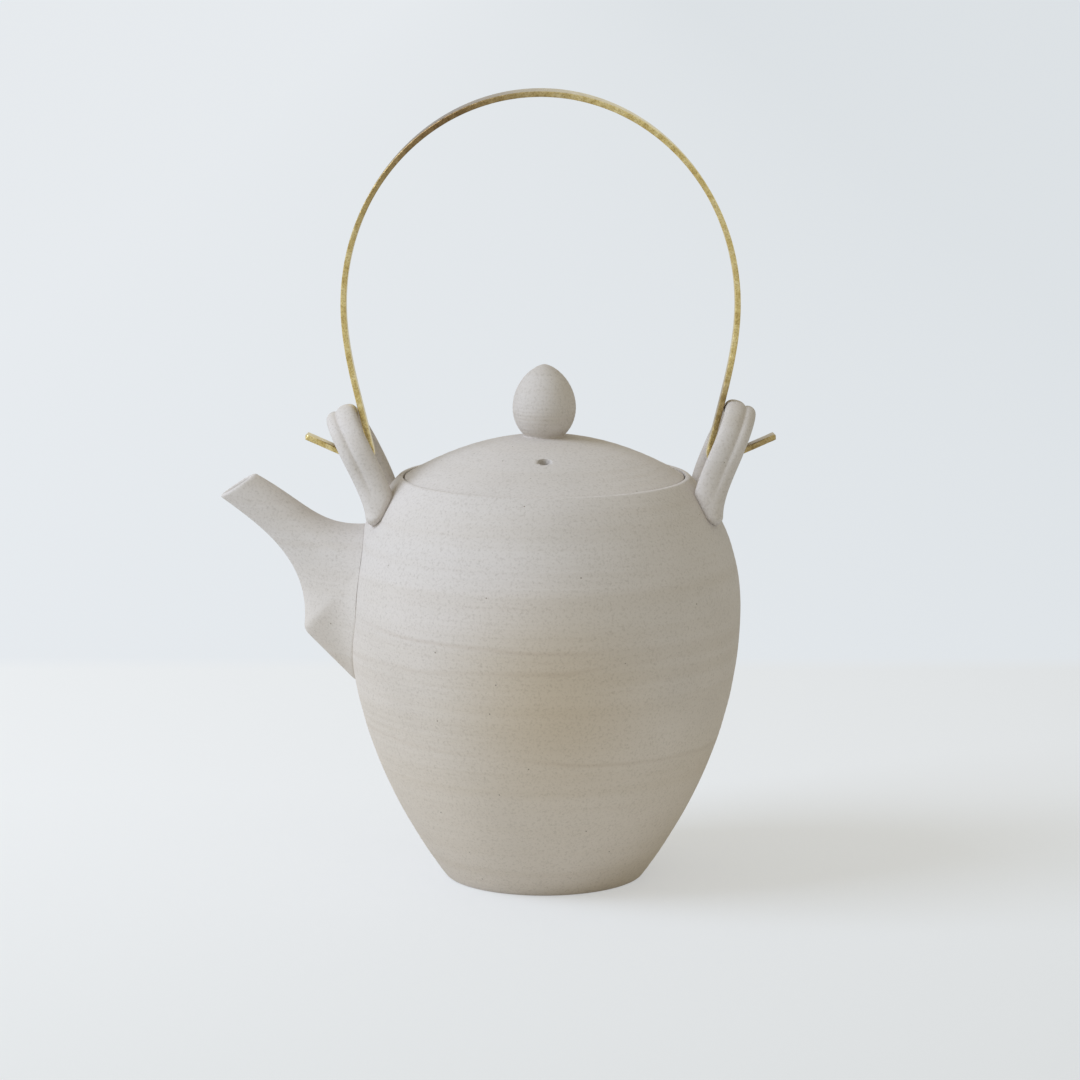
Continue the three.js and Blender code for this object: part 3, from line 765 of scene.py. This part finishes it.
def make_lug(name, line, rise, side):
    """The strap's section carried along its path. Where its outer face comes near the pot it
    rounds off in a quarter circle, and below that the foot is sunk a little into the shoulder."""
    y, along, angle = lug_path(line, rise)
    wide, thick, fade = strap_shape(along)
    section_across, section_outward, groove = strap_section()
    across = section_across * wide
    outward = section_outward * thick - groove * fade

    def placed(outward):
        sideways = y[:, None] - outward * np.cos(angle)[:, None]
        up = along[:, None] + outward * np.sin(angle)[:, None]
        points = lug_place(line, side, sideways, up, across)
        pot = outer_radius(np.clip(points[..., 2], 0, RIM_HEIGHT))
        return points, pot, np.hypot(points[..., 0], points[..., 1])

    _, pot, away = placed(outward)
    clear = np.clip((away - pot) / LUG_EDGE_ROUND, 0, 1)
    drop = LUG_EDGE_DROP * (1 - np.sqrt(1 - (1 - clear) ** 2))
    face = np.clip(section_outward / (LUG_STRAP_THICKNESS / 2), 0, 1)
    points, pot, away = placed(outward - drop * face)
    deep = (points[..., 2] < RIM_HEIGHT) & (away < pot - LUG_SUNK)
    points[..., :2] *= np.where(deep, (pot - LUG_SUNK) / away, 1)[..., None]
    return mesh_from_rows(name, points)


# Bail

def bail_seat():
    """The middle of the bail, and the reach and height of its necks where they pass the inner
    sides of the arches."""
    places = []
    for line, rise in ((SPOUT_LUG_LINE, SPOUT_LUG_RISE), (FAR_LUG_LINE, FAR_LUG_RISE)):
        along = lug_arch_top(line, rise) - LUG_STRAP_THICKNESS / 2
        places.append(lug_place(line, 1, 0, np.array([along]), LUG_STRAP_WIDTH / 2)[0])
    near, far = places
    middle = (far[0] - near[0]) / 2
    reach = (far[0] + near[0]) / 2 - BAIL_CLEARANCE - BAIL_THICKNESS / 2
    return middle, reach, (near[2] + far[2]) / 2


def bail_half():
    """The bail's centre line from its crown to the tip of one tail: a quarter of an ellipse, a
    cubic neck that bends in to the lug and runs straight past it, a small bend and a tail."""
    rise = BAIL_CROWN_HEIGHT - BAIL_SPRING_HEIGHT
    turn = np.linspace(0, np.pi / 2, 120)[:-1]
    arch = np.stack([BAIL_HALF_SPAN * np.sin(turn), BAIL_SPRING_HEIGHT + rise * np.cos(turn)], 1)
    _, reach, height = bail_seat()
    slope = math.radians(HOOK_TAIL_SLOPE)
    spring = np.array([BAIL_HALF_SPAN, BAIL_SPRING_HEIGHT])
    seat = np.array([reach, height])
    bend = seat - [HOOK_INSET, HOOK_DROP]
    tip = bend + HOOK_TAIL_LENGTH * np.array([math.cos(slope), math.sin(slope)])
    handle = np.linalg.norm(spring - seat) / 3
    above = seat + (seat - bend) / np.linalg.norm(seat - bend) * handle
    neck = cubic([spring, spring - [0, handle], above, seat], np.linspace(0, 1, 40))
    hook = rounded([[*seat, 0], [*bend, HOOK_BEND_REACH], [*tip, 0]], steps=16)
    return np.concatenate([arch, neck, hook[1:]])


def bail_width(z):
    """Width of the strip: narrow up to the taper, then widening evenly to the grip."""
    top = BAIL_CROWN_HEIGHT + BAIL_THICKNESS
    share = np.clip((z - BAIL_TAPER_HEIGHT) / (top - BAIL_TAPER_HEIGHT), 0, 1)
    return BAIL_NECK_WIDTH + (BAIL_GRIP_WIDTH - BAIL_NECK_WIDTH) * share


def strip_section(along, width):
    """The strip's section at each length along it, as places across and through it: a rectangle
    with round corners. Near the tips its width follows a cubic and its thickness a square root,
    and its edges waver by a sum of sine waves."""
    tip = np.minimum(along, along[-1] - along)
    inside = tip > 0
    square = np.sqrt(np.clip(1 - (1 - np.clip(tip / TIP_REACH, 0, 1)) ** 3, 0, 1))
    width = width * (TIP_WIDTH_SHARE + (1 - TIP_WIDTH_SHARE) * square) * inside
    thick = BAIL_THICKNESS * np.clip(tip / TIP_THINNING, 0, 1) ** 0.5
    turn = np.linspace(0, 2 * np.pi, AROUND_BAIL, endpoint=False) + np.pi / AROUND_BAIL
    side, face = np.sign(np.cos(turn)), np.sign(np.sin(turn))
    flat_across = np.clip(width / 2 - BAIL_EDGE_ROUND, 0, None)
    flat_through = np.clip(thick / 2 - BAIL_EDGE_ROUND, 0, None)
    waver = sum(depth * np.sin(along * rate + start) for depth, rate, start in FILE_WAVES)
    edge = BAIL_EDGE_ROUND * inside[:, None]
    across = side * (flat_across + waver * inside)[:, None] + edge * np.cos(turn)
    through = face * flat_through[:, None] + edge * np.sin(turn)
    return across, through


def make_bail():
    """The strip's section carried along its line, square to it."""
    middle, _, _ = bail_seat()
    half = even(bail_half(), BAIL_STEP)
    line = np.concatenate([half[::-1] * [-1, 1], half[1:]])
    way = np.gradient(line, axis=0)
    way /= np.linalg.norm(way, axis=1)[:, None]
    normal = np.stack([-way[:, 1], way[:, 0]], axis=1)
    lengths = np.linalg.norm(np.diff(line, axis=0), axis=1)
    along = np.concatenate([[0], np.cumsum(lengths)])
    across, through = strip_section(along, bail_width(line[:, 1]))
    x = middle + line[:, :1] + normal[:, :1] * through
    z = line[:, 1:] + normal[:, 1:] * through
    return mesh_from_rows("bail_strip", np.stack([x, across, z], axis=-1))


# Materials

def linear(code):
    """An sRGB hex colour as linear red, green, blue and alpha."""
    values = [int(code[i:i + 2], 16) / 255 for i in (1, 3, 5)]
    curve = [v / 12.92 if v <= 0.04045 else ((v + 0.055) / 1.055) ** 2.4 for v in values]
    return (*curve, 1)


def add(tree, kind, settings=(), links=(), stops=()):
    """Adds one node: settings are (attribute or input, value), links are (input, socket) and
    stops are a colour ramp's (place, colour). Hex colours are turned to linear."""
    node = tree.nodes.new(kind)
    for name, value in settings:
        if isinstance(name, str) and hasattr(node, name):
            setattr(node, name, value)
        else:
            colour = isinstance(value, str) and value.startswith("#")
            node.inputs[name].default_value = linear(value) if colour else value
    for name, socket in links:
        tree.links.new(socket, node.inputs[name])
    for _ in stops[2:]:
        node.color_ramp.elements.new(0.5)
    if stops:
        for step, (place, code) in zip(node.color_ramp.elements, stops):
            step.position = place
            step.color = linear(code)
    return node


def new_material(name):
    """A material with its tree, its shader and the Object coordinates, in metres."""
    material = bpy.data.materials.new(name)
    material.use_nodes = True
    tree = material.node_tree
    metres = add(tree, "ShaderNodeTexCoord").outputs["Object"]
    return material, tree, tree.nodes["Principled BSDF"], metres


def spot(tree, place, centre, reach):
    """1 at a centre, in millimetres, falling off smoothly to 0 at a reach."""
    away = add(tree, "ShaderNodeVectorMath", [("operation", "DISTANCE"), (1, centre)],
               [(0, place)])
    share = add(tree, "ShaderNodeMapRange",
                [("interpolation_type", "SMOOTHSTEP"), ("From Min", reach), ("From Max", 0)],
                [("Value", away.outputs["Value"])])
    return share.outputs["Result"]


def throwing_line(tree, parts, cloud, height, slant):
    """1 on a thin line round the pot and 0 off it. The line climbs evenly along X, wavers with
    the cloud and fades out and in with it."""
    climb = add(tree, "ShaderNodeMath", [("operation", "MULTIPLY_ADD"), (1, -slant)],
                [(0, parts.outputs["X"]), (2, parts.outputs["Z"])])
    waver = add(tree, "ShaderNodeMath", [("operation", "MULTIPLY_ADD"), (1, THROWING_LINE_WAVER)],
                [(0, cloud), (2, climb.outputs[0])])
    middle = height + THROWING_LINE_WAVER / 2
    off = add(tree, "ShaderNodeMath", [("operation", "SUBTRACT"), (1, middle)],
              [(0, waver.outputs[0])])
    away = add(tree, "ShaderNodeMath", [("operation", "ABSOLUTE")], [(0, off.outputs[0])])
    near = add(tree, "ShaderNodeMapRange",
               [("interpolation_type", "SMOOTHSTEP"), ("From Min", THROWING_LINE_HALF),
                ("From Max", 0)],
               [("Value", away.outputs[0])])
    start, full = THROWING_LINE_GAPS
    part = add(tree, "ShaderNodeMapRange", [("From Min", start), ("From Max", full)],
               [("Value", cloud)])
    line = add(tree, "ShaderNodeMath", [("operation", "MULTIPLY")],
               [(0, near.outputs[0]), (1, part.outputs[0])])
    return line.outputs[0]


def clay_tone(tree, metres, place, thrown_marks):
    """The clay's tone: soft clouds about 45 mm wide, faint streaks about 5 mm high round the
    turned pieces and a warmer foot. With throwing marks, given as (height, slant), it also has a
    warm flash on the belly and fine lines, under 3 mm high."""
    cloud = add(tree, "ShaderNodeTexNoise", [("Scale", CLAY_CLOUD_SCALE), ("Detail", 3)],
                [("Vector", place)]).outputs["Fac"]
    tone = add(tree, "ShaderNodeValToRGB", links=[(0, cloud)], stops=CLAY_TONES)
    tone = tone.outputs["Color"]
    if thrown_marks:
        flash = spot(tree, place, FLASH_PLACE, FLASH_REACH)
        tone = add(tree, "ShaderNodeMix", [*MIX, (SECOND, FLASH_TONE)],
                   [(SHARE, flash), (FIRST, tone)]).outputs[MIXED]
    stretched = add(tree, "ShaderNodeMapping", [("Scale", STREAK_STRETCH)], [("Vector", metres)])
    streak = add(tree, "ShaderNodeTexNoise", [("Scale", 1), ("Detail", 3)],
                 [("Vector", stretched.outputs["Vector"])])
    streaks = add(tree, "ShaderNodeValToRGB", links=[(0, streak.outputs["Fac"])],
                  stops=STREAK_TONES)
    parts = add(tree, "ShaderNodeSeparateXYZ", links=[(0, place)])
    height = add(tree, "ShaderNodeMapRange",
                 [("From Min", CLAY_FOOT_LOW), ("From Max", CLAY_FOOT_HIGH)],
                 [("Value", parts.outputs["Z"])])
    foot = add(tree, "ShaderNodeValToRGB", links=[(0, height.outputs[0])], stops=CLAY_FOOT_TONES)
    for veil in (streaks, foot):
        tone = add(tree, "ShaderNodeMix", [*MULTIPLY, (SHARE, 1)],
                   [(FIRST, tone), (SECOND, veil.outputs["Color"])]).outputs[MIXED]
    for line_height, slant in thrown_marks:
        line = throwing_line(tree, parts, cloud, line_height, slant)
        tone = add(tree, "ShaderNodeMix", [*MULTIPLY, (SECOND, THROWING_LINE_TONE)],
                   [(SHARE, line), (FIRST, tone)]).outputs[MIXED]
    return tone


def bare_stoneware(name, thrown_marks=()):
    """Unglazed stoneware, shaped by hand and fired. The bare clay scatters light widely, so it
    looks dry and matte. Its sand, under 1 mm across, roughens it as a fine dark grain, and iron
    burns out as sparse specks about 0.4 mm across, in cells of about 6 mm. Turning leaves rings
    about 1 mm apart. A real grain of 0.2 mm is too fine to show, so the sand is drawn coarser."""
    material, tree, shader, metres = new_material(name)
    place = add(tree, "ShaderNodeMapping", [("Scale", PER_METRE)], [("Vector", metres)])
    place = place.outputs["Vector"]
    tone = clay_tone(tree, metres, place, thrown_marks)
    sand = add(tree, "ShaderNodeTexNoise",
               [("Scale", SAND_SCALE), ("Detail", 4), ("Roughness", 0.7)],
               [("Vector", place)]).outputs["Fac"]
    dark = add(tree, "ShaderNodeValToRGB", links=[(0, sand)], stops=SAND_TONES)
    tone = add(tree, "ShaderNodeMix", [*MULTIPLY, (SHARE, SAND_SHARE)],
               [(FIRST, tone), (SECOND, dark.outputs["Color"])])
    cells = add(tree, "ShaderNodeTexVoronoi", [("Scale", SPECK_SCALE)], [("Vector", place)])
    speck = add(tree, "ShaderNodeMath", [("operation", "LESS_THAN"), (1, SPECK_SIZE)],
                [(0, cells.outputs["Distance"])])
    tone = add(tree, "ShaderNodeMix", [*MIX, (SECOND, SPECK_TONE)],
               [(SHARE, speck.outputs[0]), (FIRST, tone.outputs[MIXED])])
    tree.links.new(tone.outputs[MIXED], shader.inputs["Base Color"])
    shader.inputs["Roughness"].default_value = CLAY_ROUGHNESS
    shader.inputs["Specular IOR Level"].default_value = CLAY_SHINE
    stretched = add(tree, "ShaderNodeMapping", [("Scale", RING_STRETCH)], [("Vector", metres)])
    rings = add(tree, "ShaderNodeTexNoise", [("Scale", 1), ("Detail", 2)],
                [("Vector", stretched.outputs["Vector"])])
    grain = add(tree, "ShaderNodeBump",
                [("Strength", SAND_BUMP), ("Distance", SAND_HEIGHT * MM)], [("Height", sand)])
    ringed = add(tree, "ShaderNodeBump",
                 [("Strength", RING_BUMP), ("Distance", RING_HEIGHT * MM)],
                 [("Height", rings.outputs["Fac"]), ("Normal", grain.outputs["Normal"])])
    tree.links.new(ringed.outputs["Normal"], shader.inputs["Normal"])
    return material


def filed_brass(name):
    """Brass strip, cut, filed along its edges and bent cold. Filing leaves a soft, broken gloss,
    with marks about 1 mm long and pits about 0.5 mm across. Handling has dulled it in clouds
    about 3 mm wide, and dark brown reflections are painted on it in places. Real file marks are
    0.1 mm apart, too fine to show, so they are drawn coarser."""
    material, tree, shader, metres = new_material(name)
    place = add(tree, "ShaderNodeMapping", [("Scale", PER_METRE)], [("Vector", metres)])
    place = place.outputs["Vector"]
    cloud = add(tree, "ShaderNodeTexNoise",
                [("Scale", BRASS_CLOUD_SCALE), ("Detail", 5), ("Roughness", 0.7)],
                [("Vector", place)]).outputs["Fac"]
    clean = add(tree, "ShaderNodeValToRGB", links=[(0, cloud)], stops=BRASS_TONES)
    reflection_brown = add(tree, "ShaderNodeValToRGB", links=[(0, cloud)], stops=PAINTED_REFLECTION_TONES)
    tone = clean.outputs["Color"]
    # Painted dark brown reflections, laid over the brass at each place
    for centre, reach, depth in PAINTED_REFLECTION_PLACES:
        share = add(tree, "ShaderNodeMath", [("operation", "MULTIPLY"), (1, depth)],
                    [(0, spot(tree, place, centre, reach))])
        tone = add(tree, "ShaderNodeMix", MIX,
                   [(SHARE, share.outputs[0]), (FIRST, tone), (SECOND, reflection_brown.outputs["Color"])])
        tone = tone.outputs[MIXED]
    pits = add(tree, "ShaderNodeTexNoise", [("Scale", PIT_SCALE), ("Detail", 2)],
               [("Vector", place)])
    dark = add(tree, "ShaderNodeValToRGB", links=[(0, pits.outputs["Fac"])], stops=PIT_TONES)
    tone = add(tree, "ShaderNodeMix", [*MULTIPLY, (SHARE, PIT_SHARE)],
               [(FIRST, tone), (SECOND, dark.outputs["Color"])])
    tree.links.new(tone.outputs[MIXED], shader.inputs["Base Color"])
    shader.inputs["Metallic"].default_value = 1
    shader.inputs["Roughness"].default_value = BRASS_ROUGHNESS
    stretched = add(tree, "ShaderNodeMapping", [("Scale", FILE_STRETCH)], [("Vector", metres)])
    marks = add(tree, "ShaderNodeTexNoise", [("Scale", 1), ("Detail", 3), ("Roughness", 0.6)],
                [("Vector", stretched.outputs["Vector"])])
    filed = add(tree, "ShaderNodeBump",
                [("Strength", FILE_BUMP), ("Distance", FILE_HEIGHT * MM)],
                [("Height", marks.outputs["Fac"])])
    tree.links.new(filed.outputs["Normal"], shader.inputs["Normal"])
    return material


def seen_rays(tree):
    """1 for rays from the camera, from gloss and through glass, and 0 for the rest."""
    path = add(tree, "ShaderNodeLightPath")
    seen = path.outputs["Is Camera Ray"]
    for ray in ("Is Glossy Ray", "Is Transmission Ray"):
        seen = add(tree, "ShaderNodeMath", [("operation", "MAXIMUM")],
                   [(0, seen), (1, path.outputs[ray])]).outputs[0]
    return seen


def matte_paint(name):
    """Pale matte paint on the table and, past the table's far line, the cooler paint of the wall, as
    one flat sheet, with painted light falloff: lighter on the left, darker to the right and, on the
    table, darker towards the near edge. Matte paint has almost no gloss. What is seen is part lit
    paint, which keeps the shadow, and part its own tone."""
    material, tree, shader, metres = new_material(name)
    parts = add(tree, "ShaderNodeSeparateXYZ", links=[(0, metres)])
    beyond = add(tree, "ShaderNodeMapRange",
                 [("From Min", (TABLE_LINE - TABLE_LINE_BLUR) * MM),
                  ("From Max", (TABLE_LINE + TABLE_LINE_BLUR) * MM)],
                 [("Value", parts.outputs["Y"])]).outputs[0]
    across = add(tree, "ShaderNodeMapRange",
                 [("From Min", -TONES_REACH * MM), ("From Max", TONES_REACH * MM)],
                 [("Value", parts.outputs["X"])]).outputs[0]
    deep = add(tree, "ShaderNodeMapRange",
               [("From Min", TABLE_NEAR * MM), ("From Max", TABLE_FAR * MM)],
               [("Value", parts.outputs["Y"])]).outputs[0]
    # Painted light falloff: lighter on the left and darker to the right, and darker towards the near
    # edge
    sideways = add(tree, "ShaderNodeValToRGB", links=[(0, across)], stops=TABLE_FALLOFF_ACROSS_TONES)
    away = add(tree, "ShaderNodeValToRGB", links=[(0, deep)], stops=TABLE_FALLOFF_DEEP_TONES)
    wall = add(tree, "ShaderNodeValToRGB", links=[(0, across)], stops=WALL_FALLOFF_TONES)
    table = add(tree, "ShaderNodeMix", [*MULTIPLY, (SHARE, 1)],
                [(FIRST, sideways.outputs["Color"]), (SECOND, away.outputs["Color"])])
    tone = add(tree, "ShaderNodeMix", MIX,
               [(SHARE, beyond), (FIRST, table.outputs[MIXED]), (SECOND, wall.outputs["Color"])])
    tree.links.new(tone.outputs[MIXED], shader.inputs["Base Color"])
    shader.inputs["Roughness"].default_value = TABLE_ROUGHNESS
    shader.inputs["Specular IOR Level"].default_value = TABLE_SHINE
    own = add(tree, "ShaderNodeEmission", links=[("Color", tone.outputs[MIXED])])
    lift = add(tree, "ShaderNodeMapRange", [("To Min", TABLE_LIFT), ("To Max", WALL_LIFT)],
               [("Value", beyond)])
    share = add(tree, "ShaderNodeMath", [("operation", "MULTIPLY")],
                [(0, seen_rays(tree)), (1, lift.outputs[0])])
    both = add(tree, "ShaderNodeMixShader",
               links=[(0, share.outputs[0]), (1, shader.outputs[0]), (2, own.outputs[0])])
    tree.links.new(both.outputs[0], tree.nodes["Material Output"].inputs["Surface"])
    return material


# Stage

def make_floor():
    """The table and wall as one square, wide enough that its edge is never seen."""
    mesh = bpy.data.meshes.new("table")
    turns = ((-1, -1), (1, -1), (1, 1), (-1, 1))
    corners = [(x * FLOOR_REACH, y * FLOOR_REACH, 0) for x, y in turns]
    mesh.from_pydata(corners, [], [(0, 1, 2, 3)])
    floor = bpy.data.objects.new("table", mesh)
    bpy.context.scene.collection.objects.link(floor)
    mesh.materials.append(matte_paint("painted table"))


def make_camera():
    """The photograph's camera. A lens is as long against its sensor as the focal length in
    pixels is against the frame."""
    camera = bpy.data.objects.new("camera", bpy.data.cameras.new("camera"))
    camera.location = Vector(CAMERA_PLACE) * MM
    camera.rotation_euler = (math.radians(90 - CAMERA_PITCH), 0, 0)
    camera.data.sensor_width = SENSOR_WIDTH
    camera.data.lens = SENSOR_WIDTH * FOCAL_PIXELS / FRAME_PIXELS
    bpy.context.scene.collection.objects.link(camera)
    bpy.context.scene.camera = camera


def make_window():
    """A square soft light that faces the pot."""
    light = bpy.data.lights.new("window", "AREA")
    light.size = WINDOW_SIZE
    light.energy = WINDOW_POWER
    light.color = linear(WINDOW_TINT)[:3]
    lamp = bpy.data.objects.new("window", light)
    lamp.location = WINDOW_PLACE
    aim = Vector(WINDOW_AIM) - Vector(WINDOW_PLACE)
    lamp.rotation_euler = aim.to_track_quat("-Z", "Y").to_euler()
    bpy.context.scene.collection.objects.link(lamp)


def make_room():
    """The world: even warm light, and a pale backdrop for the rays that see it."""
    world = bpy.data.worlds.new("room")
    world.use_nodes = True
    tree = world.node_tree
    room = tree.nodes["Background"]
    room.inputs["Color"].default_value = linear(ROOM_TINT)
    room.inputs["Strength"].default_value = ROOM_STRENGTH
    pale = add(tree, "ShaderNodeBackground", [("Color", BACKDROP_TINT)])
    both = add(tree, "ShaderNodeMixShader",
               links=[(0, seen_rays(tree)), (1, room.outputs[0]), (2, pale.outputs[0])])
    tree.links.new(both.outputs[0], tree.nodes["World Output"].inputs["Surface"])
    bpy.context.scene.world = world


def settle(piece, body, slot, material, *nodes):
    """Gives a piece its material and its body, and hides the nodes that it stands for. Its slot is
    not used.
    """
    piece.data.materials.clear()
    piece.data.materials.append(material)
    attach(piece, body)
    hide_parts(*nodes)


make_camera()
thrown = bare_stoneware("thrown stoneware", THROWING_LINES)
shaped = bare_stoneware("shaped stoneware")
brass = filed_brass("filed brass")
settle(make_pot(), "vessel", "stoneware", thrown, "pot")
settle(make_spout(), "vessel", "stoneware", shaped, "spout")
spout_lug = make_lug("lug_near_spout", SPOUT_LUG_LINE, SPOUT_LUG_RISE, -1)
settle(spout_lug, "vessel", "stoneware", shaped, "lug_spout_side")
far_lug = make_lug("lug_across", FAR_LUG_LINE, FAR_LUG_RISE, 1)
settle(far_lug, "vessel", "stoneware", shaped, "lug_far_side")
settle(make_lid(), "cover", "stoneware", shaped, "lid")
settle(make_knob(), "cover", "stoneware", shaped, "knob")
settle(make_bail(), "handle", "brass", brass, "bail")
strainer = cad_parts["strainer"]
strainer.data.materials.clear()
strainer.data.materials.append(shaped)
make_floor()
make_window()
make_room()
bpy.context.scene.view_settings.view_transform = "Standard"
